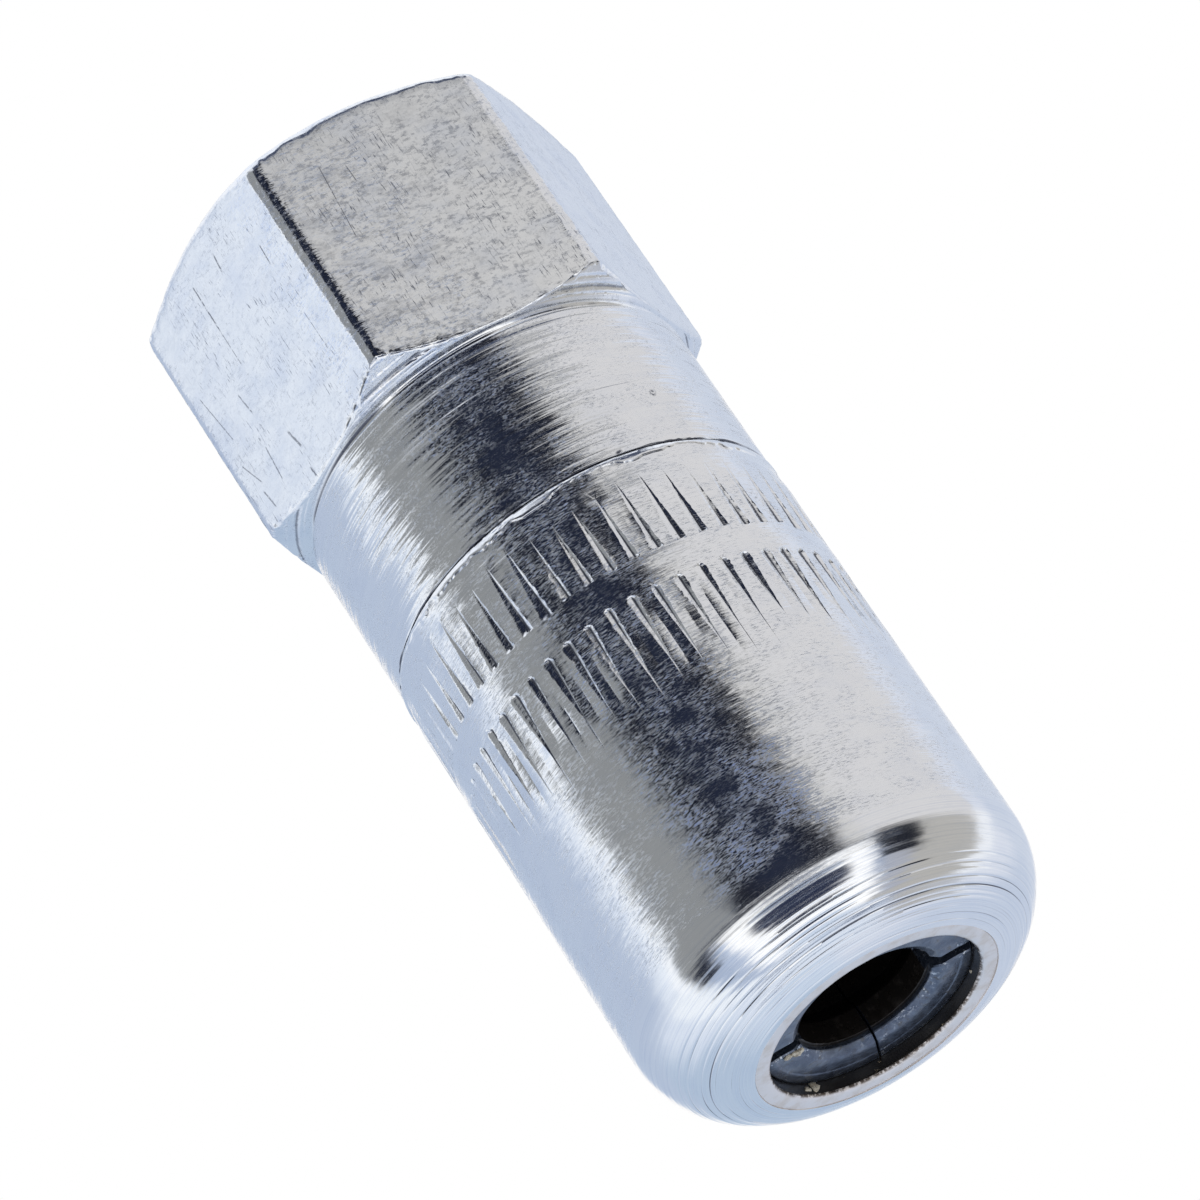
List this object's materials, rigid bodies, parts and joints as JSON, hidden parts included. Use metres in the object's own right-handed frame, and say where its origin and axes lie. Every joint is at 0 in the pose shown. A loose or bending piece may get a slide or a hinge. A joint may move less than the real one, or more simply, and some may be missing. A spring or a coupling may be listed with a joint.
{
  "type": "hydraulic grease coupler",
  "caption": "Hydraulic grease coupler with a hex body, a knurled sleeve, a rounded nose and spring-loaded jaws that close on a nipple's head",
  "frame": {"origin": "the centre of the hex end face, on the coupler's axis", "axes": "+Z runs along the coupler's axis from the inlet to the nose; -Y is the normal of one hex flat"},
  "size_m": [0.0172, 0.015, 0.0371],
  "materials": {
    "zinc_plate": "bright blue-white zinc plate over turned steel",
    "bright_steel": "ground steel, oiled",
    "spring_steel": "drawn spring wire",
    "jaw_steel": "hardened steel, blued and wet with grease",
    "nitrile": "black nitrile rubber",
    "white_plastic": "white fluoroplastic"
  },
  "bodies": {
    "body": {"hex_body": "zinc_plate", "check_retainer": "bright_steel", "spring_washer": "bright_steel", "main_spring": "spring_steel", "check_spring": "bright_steel", "piston_snap_ring": "spring_steel"},
    "sleeve_ring": {"sleeve_o_ring": "nitrile"},
    "sleeve": {"nose_sleeve": "zinc_plate"},
    "piston": {"seal_piston": "bright_steel", "piston_o_ring": "nitrile", "backup_ring": "white_plastic", "jaw_washer": "bright_steel", "nose_seal": "nitrile", "jaw_spring": "spring_steel"},
    "jaw_a": {"jaw_1": "jaw_steel"},
    "jaw_b": {"jaw_2": "jaw_steel"},
    "jaw_c": {"jaw_3": "jaw_steel"},
    "jaw_d": {"jaw_4": "jaw_steel"},
    "valve_ball": {"check_ball": "bright_steel"}
  },
  "joints": [
    {"name": "sleeve_advance", "type": "slide", "parent": "body", "child": "sleeve_ring", "axis": [0, 0, 1], "range_m": [0, 0.001]},
    {"name": "sleeve_turn", "type": "hinge", "parent": "sleeve_ring", "child": "sleeve", "pos_m": [0, 0, 0.0187], "axis": [0, 0, 1], "range_deg": [0, 360]},
    {"name": "piston_retreat", "type": "slide", "parent": "body", "child": "piston", "axis": [0, 0, -1], "range_m": [0, 0.002], "stiffness_N_per_m": 6000, "springref_m": -0.002, "deforming": ["main_spring"]},
    {"name": "jaw_1_spread", "type": "slide", "parent": "piston", "child": "jaw_a", "axis": [0.5835, 0.8121, 0], "range_m": [0, 0.00081]},
    {"name": "jaw_2_spread", "type": "slide", "parent": "piston", "child": "jaw_b", "axis": [-0.8121, 0.5835, 0], "range_m": [0, 0.00081]},
    {"name": "jaw_3_spread", "type": "slide", "parent": "piston", "child": "jaw_c", "axis": [-0.5835, -0.8121, 0], "range_m": [0, 0.00081]},
    {"name": "jaw_4_spread", "type": "slide", "parent": "piston", "child": "jaw_d", "axis": [0.8121, -0.5835, 0], "range_m": [0, 0.00081]},
    {"name": "ball_lift", "type": "slide", "parent": "body", "child": "valve_ball", "axis": [0, 0, 1], "range_m": [0, 0.0008], "stiffness_N_per_m": 100, "springref_m": -0.001, "deforming": ["check_spring"]}
  ],
  "couplings": [
    {"joint": "sleeve_advance", "follows": "sleeve_turn", "m_per_rad": 0.00015915},
    {"joint": "jaw_1_spread", "follows": "piston_retreat", "ratio": 0.40403},
    {"joint": "jaw_2_spread", "follows": "piston_retreat", "ratio": 0.40403},
    {"joint": "jaw_3_spread", "follows": "piston_retreat", "ratio": 0.40403},
    {"joint": "jaw_4_spread", "follows": "piston_retreat", "ratio": 0.40403}
  ]
}
